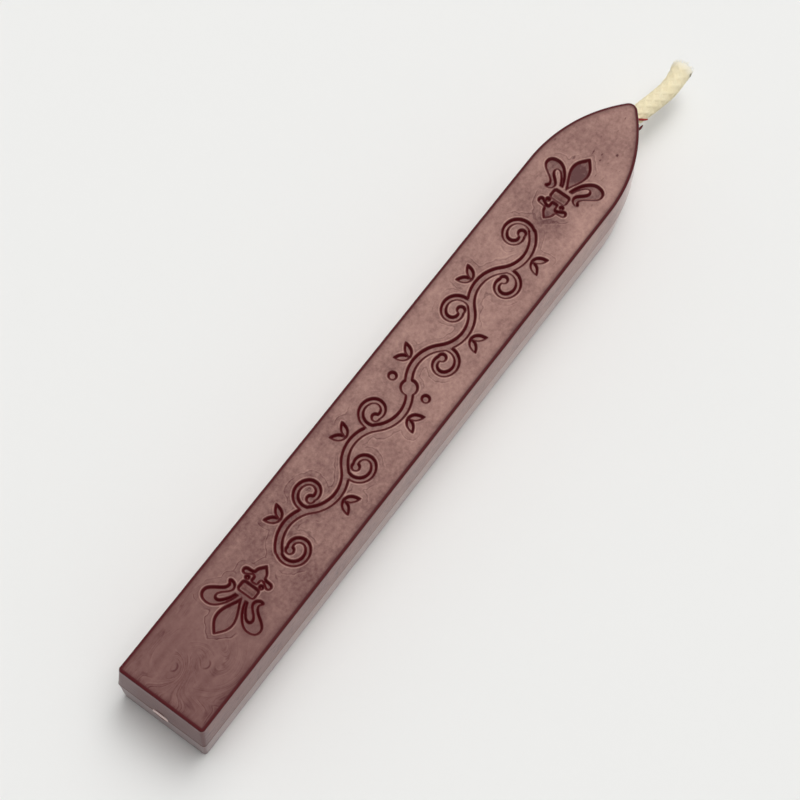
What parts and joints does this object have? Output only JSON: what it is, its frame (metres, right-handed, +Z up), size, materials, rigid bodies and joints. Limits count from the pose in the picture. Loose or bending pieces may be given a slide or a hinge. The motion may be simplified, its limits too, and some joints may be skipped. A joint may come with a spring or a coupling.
{
  "type": "sealing wax stick",
  "caption": "Square-butted wax bar with a pointed nose and ornament sunk into its top face, cast round a cotton wick whose tail stands out of the nose; melted for sealing letters.",
  "frame": {"origin": "middle of the flat underside, halfway between the butt and the nose of the wax", "axes": "+X along the stick from the butt to the nose and the wick's tail, +Y to the left, +Z up out of the ornamented face"},
  "size_m": [0.1011, 0.012, 0.011],
  "materials": {
    "sealing_wax": "cast dark red wax, satin, with a pale bloom",
    "cotton": "cream cotton yarn"
  },
  "bodies": {
    "root": {"wax_stick": "sealing_wax", "wick": "cotton"}
  },
  "joints": []
}
